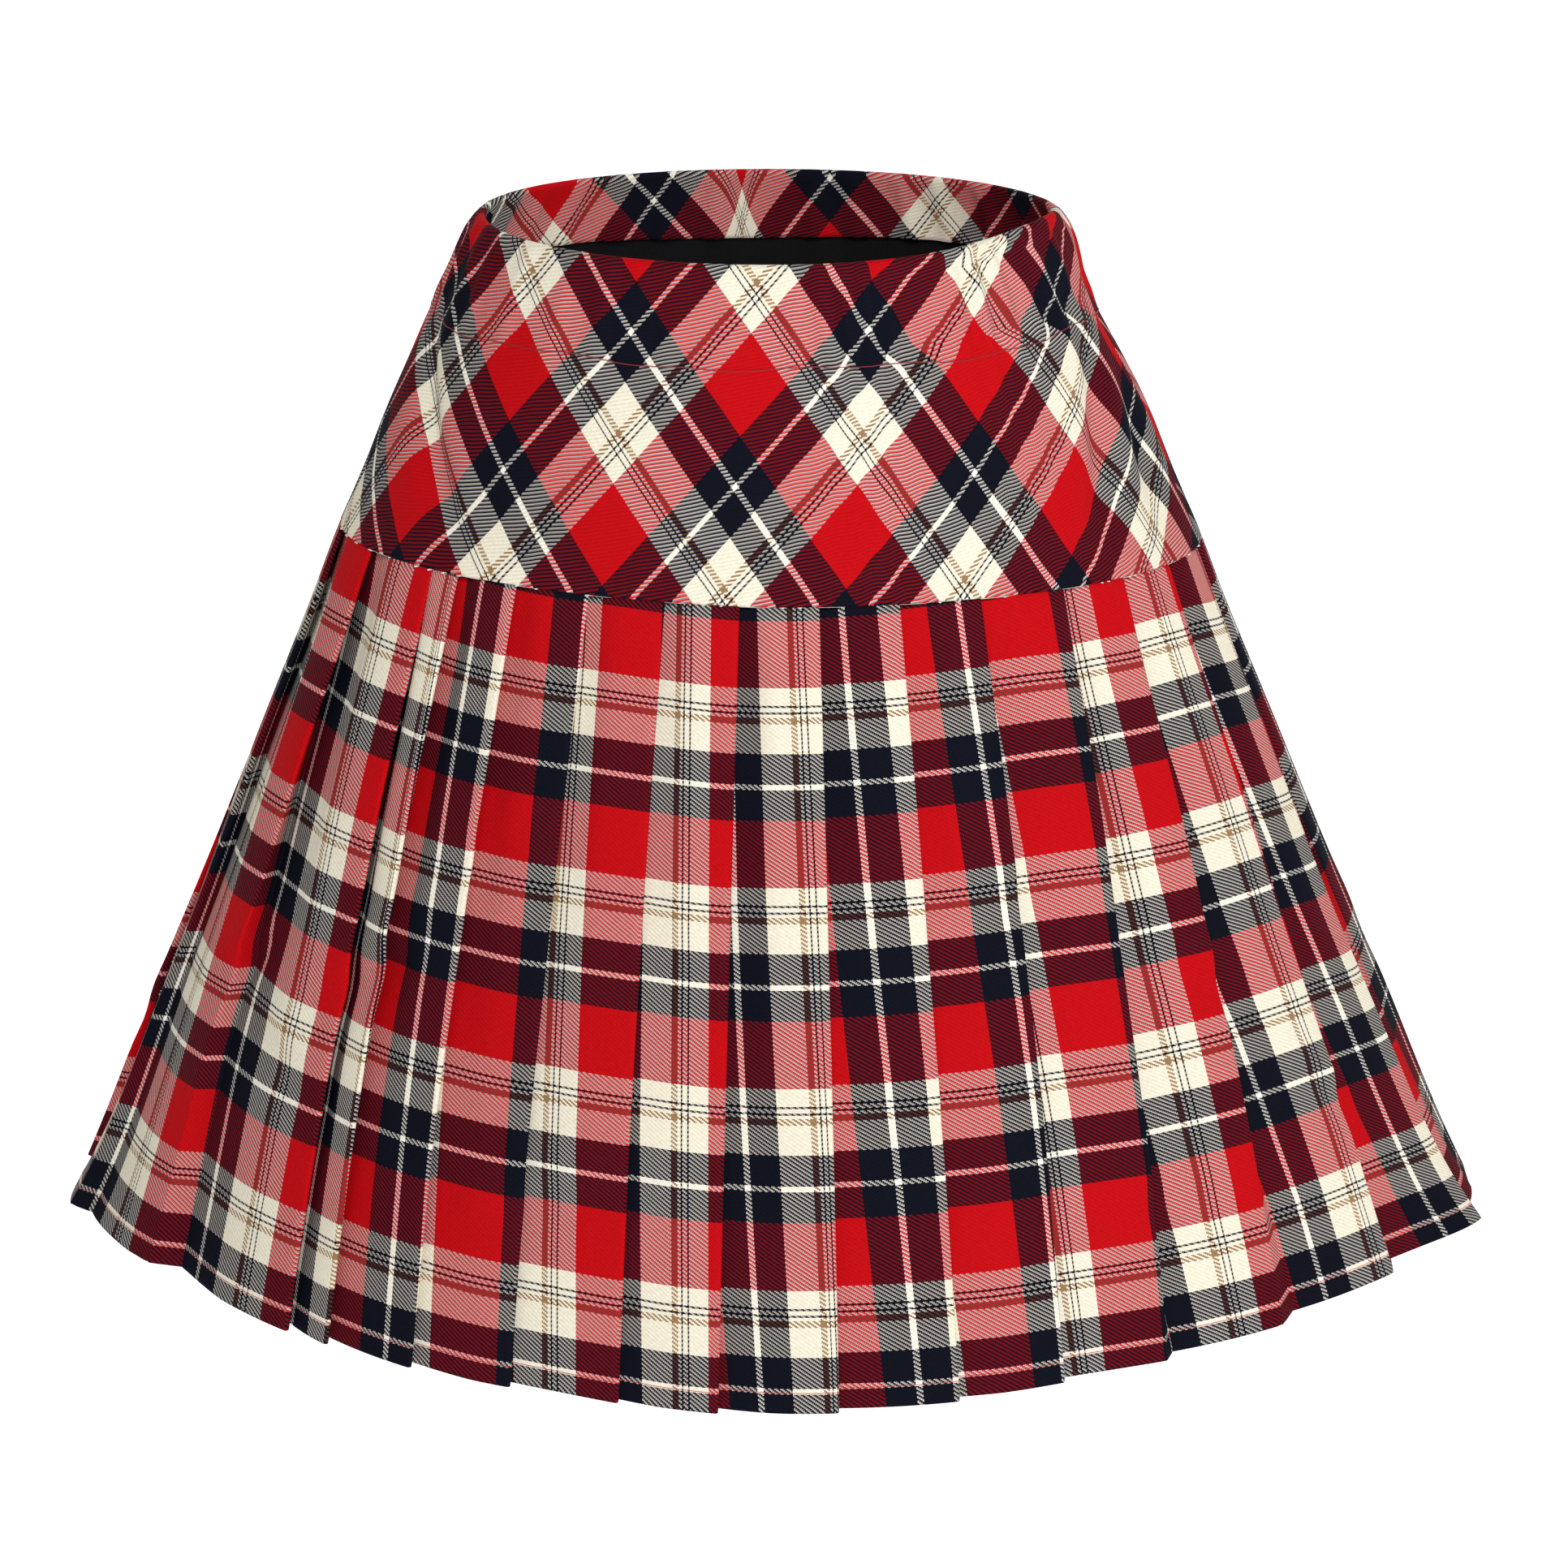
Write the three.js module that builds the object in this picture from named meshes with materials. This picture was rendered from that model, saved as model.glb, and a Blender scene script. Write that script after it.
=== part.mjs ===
// Pleated mini skirt in its worn shape: a shaped yoke with a turned-in waist casing, a hidden
// waist elastic, a short gathered lining and two knife-pleated panels that open towards the hem.
// Millimetres, +Z up, the front at -Y. The origin is the middle of the waist at its top edge.
import * as THREE from 'three';

const CLOTH = 1.2;             // wall of the skirt cloth
const LINING_WALL = 1.0;       // wall of the lining
const ELASTIC_WALL = 1.0;      // wall of the waist elastic
const GAP = 0.3;               // space left between pieces that are sewn together
const LAYER_GAP = 0.45;        // space left between the layers of the waist
const SEAM_Z = -132;           // yoke to pleats, below the waist edge
const HEM_Z = -418.5;          // hem edge, below the waist edge
const CASING_DEPTH = 30;       // how far the casing reaches down inside
const ELASTIC_TOP = 3.2;       // top edge of the elastic below the waist edge
const ELASTIC_BOTTOM = 26;     // bottom edge of the elastic below the waist edge
const LINING_TOP = 27;         // top edge of the lining, tucked behind the casing
const LINING_BOTTOM = 124;     // bottom edge of the lining
const LINING_GATHERS = 32;     // waves round the lining
const WAIST_FRONT = -6;        // the waist edge sits this much lower at the front
const WAIST_RIGHT = 4;         // and this much higher at the right side
const SEAM_LEFT = 6;           // the yoke seam rises this much at the left side
const HEM_LEFT = 21;           // the hem rises this much at the left side
const HEM_RIGHT = 20;          // and this much at the right side
const HEM_DRIFT = 2.2;         // the hem hangs this much to the right
const UNDERLAY = 15.6;         // hidden fold of a pleat at the seam
const UNDERLAY_SHARE = 0.65;   // and the most of the way back to the ridge before that it takes
const FACE_AT_HEM = 50;        // cloth from a valley to the next ridge at the hem
const BACK_PLEATS = 15;        // spread evenly between the last and the first front ridge
const BACK_DEPTH = 8;          // depth of the back valleys at the hem
const BACK_GAPE = 2;           // how much deeper they lie part of the way down
const GAPE_SHARE = 0.3;        // share of the way down at which the valleys gape most
const FLARE_REACH = 11;        // degrees that a hem corner's flare reaches each way
const YOKE_COLUMNS = 48;       // steps round one yoke panel
const RING_COLUMNS = 72;       // steps round the elastic

const CLOTH_COLOUR = 0x8c2a33;
const LINING_COLOUR = 0x17171b;
const ELASTIC_COLOUR = 0xe6e3dc;

// Outer half-width and half-depth of the worn skirt at each height.
const BODY = [
  { z: 0, halfWidth: 114, halfDepth: 88 },
  { z: -11, halfWidth: 120, halfDepth: 91 },
  { z: -27, halfWidth: 127, halfDepth: 94 },
  { z: -53, halfWidth: 139, halfDepth: 100 },
  { z: -79, halfWidth: 150.6, halfDepth: 105.5 },
  { z: -105, halfWidth: 161, halfDepth: 111.5 },
  { z: -132, halfWidth: 172.8, halfDepth: 117.5 },
  { z: -159, halfWidth: 183.5, halfDepth: 125.5 },
  { z: -212, halfWidth: 206, halfDepth: 144 },
  { z: -267, halfWidth: 228.5, halfDepth: 164 },
  { z: -322, halfWidth: 252, halfDepth: 184 },
  { z: -378, halfWidth: 274.3, halfDepth: 204 },
  { z: -418.5, halfWidth: 290.5, halfDepth: 218 },
];

// Ridge of each front pleat: its angle at the seam and at the hem (0 is the front middle, plus is
// towards +X), how deep the valley beside it lies at the hem, and how much deeper part way down.
const PLEATS = [
  { seam: -84, hem: -78, depth: 6, gape: 3 },
  { seam: -66, hem: -60.5, depth: 7, gape: 5 },
  { seam: -49.4, hem: -41, depth: 8, gape: 9 },
  { seam: -44.5, hem: -36.8, depth: 7, gape: 4 },
  { seam: -34.4, hem: -28.8, depth: 6, gape: 2 },
  { seam: -23.6, hem: -20.4, depth: 5.5, gape: 2 },
  { seam: -13.3, hem: -11.8, depth: 5, gape: 2 },
  { seam: -3.7, hem: -4.2, depth: 5, gape: 4 },
  { seam: 6.4, hem: 4.8, depth: 5, gape: 2 },
  { seam: 16.8, hem: 14, depth: 5, gape: 2 },
  { seam: 28, hem: 22.6, depth: 5, gape: 2 },
  { seam: 41, hem: 31.6, depth: 6, gape: 4 },
  { seam: 52.8, hem: 43.5, depth: 6.5, gape: 3 },
  { seam: 65, hem: 58.8, depth: 8, gape: 3 },
  { seam: 79, hem: 75.3, depth: 7, gape: 3 },
];

// Where the hem flares out at the two side corners, and how far.
const HEM_FLARES = [
  { angle: -78, out: 7.5 },
  { angle: 75.3, out: 11.5 },
];

// Share of the way down the pleats at which a row of points is set.
const PLEAT_ROWS = [0, 0.07, 0.2, 0.42, 0.7, 0.88, 1];

// Soft folds pressed into the yoke: angle and height of the middle, degrees that it moves round
// per millimetre down, reach each way and depth.
const YOKE_FOLDS = [
  { angle: -62, z: -82, slant: 0.42, reachAngle: 4.8, reachZ: 40, depth: 6.5 },
  { angle: -40, z: -112, slant: 0.3, reachAngle: 4.5, reachZ: 18, depth: 2.2 },
  { angle: 59, z: -82, slant: -0.2, reachAngle: 3.8, reachZ: 36, depth: 5.5 },
  { angle: 72, z: -92, slant: -0.15, reachAngle: 4, reachZ: 30, depth: 4.2 },
  { angle: 90, z: -36, slant: 0, reachAngle: 24, reachZ: 26, depth: 4 },
  { angle: 114, z: -80, slant: 0.1, reachAngle: 5, reachZ: 36, depth: 3.6 },
  { angle: 150, z: -72, slant: -0.1, reachAngle: 5, reachZ: 30, depth: 1.8 },
  { angle: 214, z: -84, slant: 0.15, reachAngle: 5, reachZ: 30, depth: 2 },
  { angle: 246, z: -80, slant: -0.2, reachAngle: 5, reachZ: 36, depth: 4 },
];

const radians = (degrees) => (degrees * Math.PI) / 180;
const mix = (from, to, share) => from + (to - from) * share;
const bump = (distance) => Math.exp(-distance * distance);

// Half-width and half-depth at a height, read between the rows of BODY with a smooth curve.
function bodyAt(z) {
  let i = 0;
  while (i < BODY.length - 2 && z < BODY[i + 1].z) {
    i += 1;
  }
  const before = BODY[Math.max(i - 1, 0)];
  const from = BODY[i];
  const to = BODY[i + 1];
  const after = BODY[Math.min(i + 2, BODY.length - 1)];
  const share = (z - from.z) / (to.z - from.z);
  const read = (key) => {
    const slopeFrom = i === 0 ? (to[key] - from[key]) / (to.z - from.z)
      : (to[key] - before[key]) / (to.z - before.z);
    const slopeTo = i === BODY.length - 2 ? (to[key] - from[key]) / (to.z - from.z)
      : (after[key] - from[key]) / (after.z - from.z);
    const span = to.z - from.z;
    const s2 = share * share;
    const s3 = s2 * share;
    return (2 * s3 - 3 * s2 + 1) * from[key] + (s3 - 2 * s2 + share) * span * slopeFrom
      + (3 * s2 - 2 * s3) * to[key] + (s3 - s2) * span * slopeTo;
  };
  return { a: read('halfWidth'), b: read('halfDepth') };
}

// How far the yoke is pressed in at an angle and height.
function hollow(angle, z) {
  let sum = 0;
  for (const fold of YOKE_FOLDS) {
    const middle = fold.angle + fold.slant * (fold.z - z);
    const turn = ((angle - middle + 540) % 360) - 180;
    sum += fold.depth * bump(turn / fold.reachAngle) * bump((z - fold.z) / fold.reachZ);
  }
  const fade = Math.min(1, Math.max(0, (z - SEAM_Z) / 30)) * Math.min(1, Math.max(0, -z / 25));
  return sum * fade;
}

// Height that the cloth gains over its level at an angle: first what the whole body gives, then
// the tilt of the waist edge alone.
function rise(angle, z) {
  const turn = radians(angle);
  const right = Math.max(0, Math.sin(turn));
  const left = Math.max(0, -Math.sin(turn));
  const front = (1 + Math.cos(turn)) / 2;
  const seam = SEAM_LEFT * left;
  const hem = HEM_LEFT * left ** 1.4 + HEM_RIGHT * right ** 1.4;
  const below = Math.min(1, Math.max(0, (z - SEAM_Z) / (HEM_Z - SEAM_Z)));
  const above = Math.min(1, Math.max(0, z / SEAM_Z));
  const sideways = ((angle - 66 + 540) % 360) - 180;
  return {
    body: mix(seam * above, hem, below),
    waist: (WAIST_FRONT * front * front + WAIST_RIGHT * bump(sideways / 26)) * (1 - above),
  };
}

// How far the hem corners stand out at an angle, `below` being the share of the way to the hem.
function flare(angle, below) {
  let sum = 0;
  for (const corner of HEM_FLARES) {
    const turn = ((angle - corner.angle + 540) % 360) - 180;
    sum += corner.out * bump(turn / FLARE_REACH);
  }
  return sum * below ** 10;
}

// Point that lies `depth` inside the outer skirt surface at an angle and a level.
function onBody(angle, z, depth) {
  const lift = rise(angle, z);
  const { a, b } = bodyAt(Math.min(z + lift.body, 0));
  const turn = radians(angle);
  const sin = Math.sin(turn);
  const cos = Math.cos(turn);
  const length = Math.hypot(b * sin, a * cos);
  const below = Math.max(0, (z - SEAM_Z) / (HEM_Z - SEAM_Z));
  const inward = depth + hollow(angle, z) - flare(angle, below);
  const drift = HEM_DRIFT * below ** 2;
  return new THREE.Vector3(
    a * sin - (inward * b * sin) / length + drift,
    -b * cos + (inward * a * cos) / length,
    z + lift.body + lift.waist,
  );
}

// Arc length along the body per degree at an angle and height.
function arcPerDegree(angle, z) {
  const { a, b } = bodyAt(z);
  const turn = radians(angle);
  return Math.hypot(a * Math.cos(turn), b * Math.sin(turn)) * radians(1);
}

// Closed solid from an outer and an inner grid of points with the same rows and columns.
// `ring` closes the columns on themselves.
function solid(outer, inner, ring) {
  const rows = outer.length;
  const columns = outer[0].length;
  const positions = [];
  for (const grid of [outer, inner]) {
    for (const row of grid) {
      for (const point of row) {
        positions.push(point.x, point.y, point.z);
      }
    }
  }
  const at = (layer, row, column) => (layer * rows + row) * columns + (column % columns);
  const index = [];
  const quad = (p, q, r, s) => index.push(p, q, r, p, r, s);
  const last = ring ? columns : columns - 1;
  for (let row = 0; row < rows - 1; row += 1) {
    for (let column = 0; column < last; column += 1) {
      quad(at(0, row, column), at(0, row + 1, column), at(0, row + 1, column + 1), at(0, row, column + 1));
      quad(at(1, row, column), at(1, row, column + 1), at(1, row + 1, column + 1), at(1, row + 1, column));
    }
  }
  for (let column = 0; column < last; column += 1) {
    const end = rows - 1;
    quad(at(0, 0, column), at(0, 0, column + 1), at(1, 0, column + 1), at(1, 0, column));
    quad(at(0, end, column), at(1, end, column), at(1, end, column + 1), at(0, end, column + 1));
  }
  if (!ring) {
    const edge = columns - 1;
    for (let row = 0; row < rows - 1; row += 1) {
      quad(at(0, row, 0), at(1, row, 0), at(1, row + 1, 0), at(0, row + 1, 0));
      quad(at(0, row, edge), at(0, row + 1, edge), at(1, row + 1, edge), at(1, row, edge));
    }
  }
  const geometry = new THREE.BufferGeometry();
  geometry.setAttribute('position', new THREE.Float32BufferAttribute(positions, 3));
  geometry.setIndex(index);
  geometry.computeVertexNormals();
  return geometry;
}

// Yoke panel with its casing: one cloth that runs from inside the casing's free edge up to the
// waist, over the fold and down the outside to the seam.
function yokePanel(start, end) {
  const fold = 2 * CLOTH + 2 * LAYER_GAP + ELASTIC_WALL;
  const lower = [-18, -30, -52, -76, -102, SEAM_Z + GAP];
  const outside = [
    [fold, -CASING_DEPTH], [fold, -18], [fold, -2.2], [fold / 2, 0], [0, -2.2],
    ...lower.map((z) => [0, z]),
  ];
  const inside = [
    [fold - CLOTH, -CASING_DEPTH], [fold - CLOTH, -18], [fold - CLOTH, -2.7], [fold / 2, -1.4],
    [CLOTH, -2.7], ...lower.map((z) => [CLOTH, z]),
  ];
  const row = ([depth, z]) => {
    const points = [];
    const trim = (GAP / 2) / arcPerDegree(start, z);
    for (let i = 0; i <= YOKE_COLUMNS; i += 1) {
      points.push(onBody(mix(start + trim, end - trim, i / YOKE_COLUMNS), z, depth));
    }
    return points;
  };
  return solid(outside.map(row), inside.map(row), false);
}

function ringRow(z, depth, columns) {
  const points = [];
  for (let i = 0; i < columns; i += 1) {
    points.push(onBody((360 * i) / columns, z, depth));
  }
  return points;
}

function elasticBand() {
  const near = CLOTH + LAYER_GAP;
  const levels = [-ELASTIC_TOP, -18, -ELASTIC_BOTTOM];
  return solid(
    levels.map((z) => ringRow(z, near, RING_COLUMNS)),
    levels.map((z) => ringRow(z, near + ELASTIC_WALL, RING_COLUMNS)),
    true,
  );
}

// Lining: flat where it is tucked behind the casing, gathered into waves below it.
function liningBand() {
  const columns = LINING_GATHERS * 4;
  const near = CLOTH + LAYER_GAP;
  const levels = [LINING_TOP, CASING_DEPTH + 1.5, 52, 76, 102, LINING_BOTTOM];
  const row = (wall) => (below) => {
    const free = Math.min(1, Math.max(0, (below - CASING_DEPTH) / 30));
    const points = [];
    for (let i = 0; i < columns; i += 1) {
      const wave = Math.sin((Math.PI * i) / 2 + 0.5) + 0.35 * Math.sin(0.41 * i);
      const depth = near + free * (3.4 + 1.7 * wave) + wall;
      points.push(onBody((360 * i) / columns, -below, depth));
    }
    return points;
  };
  return solid(levels.map(row(0)), levels.map(row(LINING_WALL)), true);
}

// Every ridge round the skirt: the front ones from the table, the back ones evenly spread over
// the girth that is left.
function allRidges() {
  const first = PLEATS[0];
  const last = PLEATS[PLEATS.length - 1];
  const spread = (from, to, z, share) => {
    const steps = 400;
    const lengths = [0];
    for (let i = 1; i <= steps; i += 1) {
      lengths.push(lengths[i - 1] + arcPerDegree(mix(from, to, (i - 0.5) / steps), z));
    }
    const wanted = lengths[steps] * share;
    const at = lengths.findIndex((length) => length >= wanted);
    return mix(from, to, at / steps);
  };
  const back = [];
  for (let i = 1; i <= BACK_PLEATS; i += 1) {
    const share = i / (BACK_PLEATS + 1);
    back.push({
      seam: spread(last.seam, first.seam + 360, SEAM_Z, share),
      hem: spread(last.hem, first.hem + 360, HEM_Z, share),
      depth: BACK_DEPTH,
      gape: BACK_GAPE,
    });
  }
  return [...PLEATS, ...back];
}

const RIDGES = allRidges();

// Ridge number i, counted on past the last one.
function ridgeAt(i, share) {
  const ridge = RIDGES[i % RIDGES.length];
  const lap = 360 * Math.floor(i / RIDGES.length);
  return { ...ridge, angle: mix(ridge.seam, ridge.hem, share) + lap };
}

// One pleat on one row: the ridge, the fold back under itself, the valley, and two points of the
// next face on its way out to the next ridge. Each point is an angle and a depth.
function pleatPoints(i, share) {
  const level = mix(SEAM_Z - GAP, HEM_Z, share);
  const open = Math.sqrt(share);
  const layer = (CLOTH + GAP) / Math.cos(wallTilt(share));
  const { angle, depth, gape } = ridgeAt(i, share);
  const next = ridgeAt(i + 1, share).angle;
  const before = ridgeAt(i + RIDGES.length - 1, share).angle - 360;
  const perDegree = arcPerDegree((angle + next) / 2, level);
  const pitch = (next - angle) * perDegree;
  const top = CLOTH / 2;
  const partWay = share / GAPE_SHARE;
  const valley = mix(top + 1.5 * layer, depth, open) + gape * partWay * Math.exp(1 - partWay);
  const reach = pitch - Math.sqrt(FACE_AT_HEM ** 2 - depth ** 2);
  const underlay = Math.min(UNDERLAY, UNDERLAY_SHARE * (angle - before) * perDegree);
  const valleyAt = mix(-underlay, Math.min(11, Math.max(-13, reach)), share);
  const half = layer / 2;
  const at = (offset, inward) => ({ angle: angle + offset / perDegree, depth: inward });
  const onFace = (part, pressed, loose) => at(
    valleyAt + part * (pitch - valleyAt),
    mix(top + 2 * layer * pressed, mix(top, valley, loose), open),
  );
  return {
    ridge: [
      at(-half, top),
      at(0, top + half),
      at(mix(-half, 0.3, open), top + layer),
    ],
    valley: [
      at(valleyAt + mix(half, -0.7, open), valley - mix(half, 0.7, open)),
      at(valleyAt, valley),
      at(valleyAt + mix(half, 1.1, open), valley + mix(half, 0, open)),
    ],
    early: onFace(0.37, 1, 0.58),
    middle: onFace(0.5, 0.5, 0.42),
    late: onFace(0.63, 0, 0.26),
    level,
  };
}

// Lean of the cloth wall on a row, which makes its level section thicker than the cloth.
function wallTilt(share) {
  return 0.33 * Math.min(1, share * 8);
}

// Pleated panel with `count` ridges from ridge `from` on. It begins and ends in the middle of a
// face, where it is sewn to its neighbour at the side seam.
function pleatedPanel(from, count) {
  const outer = [];
  const inner = [];
  for (const share of PLEAT_ROWS) {
    const half = CLOTH / 2 / Math.cos(wallTilt(share));
    const before = pleatPoints(from + RIDGES.length - 1, share);
    const turnBack = (point) => ({ angle: point.angle - 360, depth: point.depth });
    const points = [turnBack(before.middle), turnBack(before.late)];
    let last = before;
    for (let i = from; i < from + count; i += 1) {
      last = pleatPoints(i, share);
      points.push(...last.ridge, ...last.valley, last.early);
      if (i < from + count - 1) {
        points.push(last.late);
      }
    }
    points.push(last.middle);
    const trim = (GAP / 2) / arcPerDegree(90, last.level);
    points[0].angle += trim;
    points[points.length - 1].angle -= trim;
    const line = points.map((point) => onBody(point.angle, last.level, point.depth));
    const sides = thicken(line, half);
    for (const end of [0, points.length - 1]) {
      sides.outer[end] = onBody(points[end].angle, last.level, points[end].depth - half);
      sides.inner[end] = onBody(points[end].angle, last.level, points[end].depth + half);
    }
    outer.push(sides.outer);
    inner.push(sides.inner);
  }
  return solid(outer, inner, false);
}

// Offset of a row of the cloth to both sides of its middle line, seen from above.
function thicken(line, half) {
  const outer = [];
  const inner = [];
  line.forEach((here, i) => {
    const before = line[Math.max(i - 1, 0)];
    const after = line[Math.min(i + 1, line.length - 1)];
    const into = new THREE.Vector2(here.x - before.x, here.y - before.y).normalize();
    const away = new THREE.Vector2(after.x - here.x, after.y - here.y).normalize();
    const normal = new THREE.Vector2(into.y + away.y, -into.x - away.x).normalize();
    const reach = half / Math.max(0.6, normal.x * away.y - normal.y * away.x);
    outer.push(new THREE.Vector3(here.x + normal.x * reach, here.y + normal.y * reach, here.z));
    inner.push(new THREE.Vector3(here.x - normal.x * reach, here.y - normal.y * reach, here.z));
  });
  return { outer, inner };
}

const skirt = new THREE.Group();
skirt.name = 'pleated_mini_skirt';

function add(name, geometry, color, roughness) {
  const material = new THREE.MeshStandardMaterial({ color, roughness, metalness: 0 });
  const mesh = new THREE.Mesh(geometry, material);
  mesh.name = name;
  skirt.add(mesh);
}

const FRONT_PLEATS = PLEATS.length;
const seamAngle = (i) => pleatPoints(i, 0).middle.angle;
const rightSeam = seamAngle(FRONT_PLEATS - 1);
const leftSeam = seamAngle(RIDGES.length - 1);

add('yoke_front', yokePanel(leftSeam - 360, rightSeam), CLOTH_COLOUR, 0.85);
add('yoke_back', yokePanel(rightSeam, leftSeam), CLOTH_COLOUR, 0.85);
add('waist_elastic', elasticBand(), ELASTIC_COLOUR, 0.8);
add('lining', liningBand(), LINING_COLOUR, 0.9);
add('pleats_front', pleatedPanel(0, FRONT_PLEATS), CLOTH_COLOUR, 0.85);
add('pleats_back', pleatedPanel(FRONT_PLEATS, BACK_PLEATS), CLOTH_COLOUR, 0.85);

export default skirt;
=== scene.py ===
import math

import bpy
import numpy as np
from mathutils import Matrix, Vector


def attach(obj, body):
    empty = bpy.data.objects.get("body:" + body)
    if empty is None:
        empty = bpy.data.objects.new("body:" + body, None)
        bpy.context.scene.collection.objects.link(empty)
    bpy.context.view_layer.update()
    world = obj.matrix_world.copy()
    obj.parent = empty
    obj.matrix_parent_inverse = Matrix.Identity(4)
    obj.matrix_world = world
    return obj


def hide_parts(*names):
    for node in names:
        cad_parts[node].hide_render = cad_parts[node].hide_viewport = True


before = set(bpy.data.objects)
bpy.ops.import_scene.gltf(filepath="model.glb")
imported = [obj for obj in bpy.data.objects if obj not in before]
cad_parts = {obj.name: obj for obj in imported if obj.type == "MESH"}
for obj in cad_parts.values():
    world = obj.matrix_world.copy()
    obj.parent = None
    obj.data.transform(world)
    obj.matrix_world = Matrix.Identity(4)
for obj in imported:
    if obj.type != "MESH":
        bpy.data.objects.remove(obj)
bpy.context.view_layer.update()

# Yoke, front and back: two bias-cut panels of brushed plaid twill that fit from the waist to the
# hip. Each is cut in one with its waist casing, which is turned in over the elastic and stitched
# through about 40 mm below the fold.
BODY = np.array([
    # height, half-width, half-depth of the worn skirt, in millimetres
    (0, 114, 88), (-11, 120, 91), (-27, 127, 94), (-53, 139, 100), (-79, 150.6, 105.5),
    (-105, 161, 111.5), (-132, 172.8, 117.5), (-159, 183.5, 125.5), (-212, 206, 144),
    (-267, 228.5, 164), (-322, 252, 184), (-378, 274.3, 204), (-418.5, 290.5, 218),
])
SEAM_Z, HEM_Z = -132.0, -418.5
# How far the waist edge rises at the front and round the right side, and over how many degrees;
# how far the seam rises at the left side, and the hem at each side; how far the hem hangs right.
WAIST_FRONT, WAIST_RIGHT, WAIST_RISE_AT, WAIST_RISE_REACH = -6, 4, 66, 26
SEAM_LEFT, HEM_LEFT, HEM_RIGHT, HEM_DRIFT = 6, 21, 20, 2.2
# Angle of each corner of the hem that swings out, and how far; the degrees it takes each way.
HEM_FLARES, FLARE_REACH = ((-78, 7.5), (75.3, 11.5)), 11
# Walls of the pieces, and the gaps between pieces sewn together and between the waist's layers.
CLOTH, ELASTIC_WALL, LINING_WALL = 1.2, 1.0, 1.0
GAP, LAYER_GAP = 0.3, 0.45
FOLD_WIDTH = 2 * CLOTH + 2 * LAYER_GAP + ELASTIC_WALL
CASING_DEPTH, CASING_STITCH = 30.0, -40
# Angle, reach in degrees and rise of the casing's free edge inside the back.
CASING_RISES = ((147, 30, 3.0), (222, 25, 2.0))
# Heights over which the yoke's folds die out above the seam and below the waist.
SEAM_FADE, WAIST_FADE = 30, 25
YOKE_FOLDS = np.array([
    # angle, height, degrees moved round per millimetre down, reach in degrees and in height, depth
    (-62, -82, 0.42, 4.8, 40, 6.5), (-40, -112, 0.3, 4.5, 18, 2.2), (59, -82, -0.2, 3.8, 36, 5.5),
    (72, -92, -0.15, 4, 30, 4.2), (90, -36, 0, 24, 26, 4.0), (114, -80, 0.1, 5, 36, 3.6),
    (150, -72, -0.1, 5, 30, 1.8), (214, -84, 0.15, 5, 30, 2.0), (246, -80, -0.2, 5, 36, 4.0),
])
PUCKERS = np.array([
    # angle, width in degrees, depth, slant in degrees over the height of the casing
    (-71, 2.2, 1.4, 1.0), (-63, 1.8, 1.2, -1.0), (-52, 2.2, 1.0, 0.8), (-39, 2.0, 0.7, -0.8),
    (-31, 1.8, 0.9, 0.6), (-17, 1.8, 0.7, -0.5), (-8, 1.6, 0.5, 0.5), (4, 1.5, 0.9, 0.6),
    (9, 1.3, 1.6, 1.2), (13.5, 1.2, 2.0, 0.8), (18, 1.3, 1.8, -0.8), (22.5, 1.4, 1.2, -1.2),
    (30, 1.6, 1.0, 0.9), (36, 1.5, 1.8, -1.4), (41, 1.4, 2.2, -1.2), (46, 1.4, 1.8, 0.6),
    (52, 1.6, 1.6, 1.0), (59, 1.7, 1.3, 1.2), (68, 2.0, 1.0, 1.0), (80, 2.2, 0.7, 0.5),
    (93, 2.0, 1.6, -0.8), (105, 2.2, 1.5, 0.8), (118, 2.0, 1.6, -0.8), (131, 2.0, 1.7, 0.6),
    (143, 1.7, 1.2, 0.9), (152, 1.8, 1.5, -0.4), (163, 1.8, 1.3, -0.6), (171, 1.6, 1.4, 0.6),
    (191, 1.7, 1.6, -0.8), (200, 1.9, 1.5, 0.6), (211, 2.0, 1.2, -0.8), (222, 1.8, 1.6, 0.7),
    (233, 2.0, 1.4, 0.5), (244, 2.0, 1.5, 0.8), (256, 2.0, 1.6, -0.6), (268, 2.2, 1.3, 0.6),
    (280, 2.0, 1.4, -0.8),
])


def body_at(z):
    """Half-width and half-depth at a height: a cubic through the rows of BODY, whose slope at
    a row is that of the line from the row before to the row after."""
    heights, sizes = BODY[::-1, 0], BODY[::-1, 1:]
    slopes = np.gradient(sizes, axis=0) / np.gradient(heights)[:, None]
    slopes[1:-1] = (sizes[2:] - sizes[:-2]) / (heights[2:] - heights[:-2])[:, None]
    slopes[0] = (sizes[1] - sizes[0]) / (heights[1] - heights[0])
    slopes[-1] = (sizes[-1] - sizes[-2]) / (heights[-1] - heights[-2])
    i = np.clip(np.searchsorted(heights, z) - 1, 0, len(heights) - 2)
    span = (heights[i + 1] - heights[i])[..., None]
    s = (z - heights[i])[..., None] / span
    value = ((2 * s**3 - 3 * s**2 + 1) * sizes[i] + (s**3 - 2 * s**2 + s) * span * slopes[i]
             + (3 * s**2 - 2 * s**3) * sizes[i + 1] + (s**3 - s**2) * span * slopes[i + 1])
    return value[..., 0], value[..., 1]


def turn_from(angle, middle):
    """Signed angle from a middle, between -180 and 180 degrees."""
    return (angle - middle + 540) % 360 - 180


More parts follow.
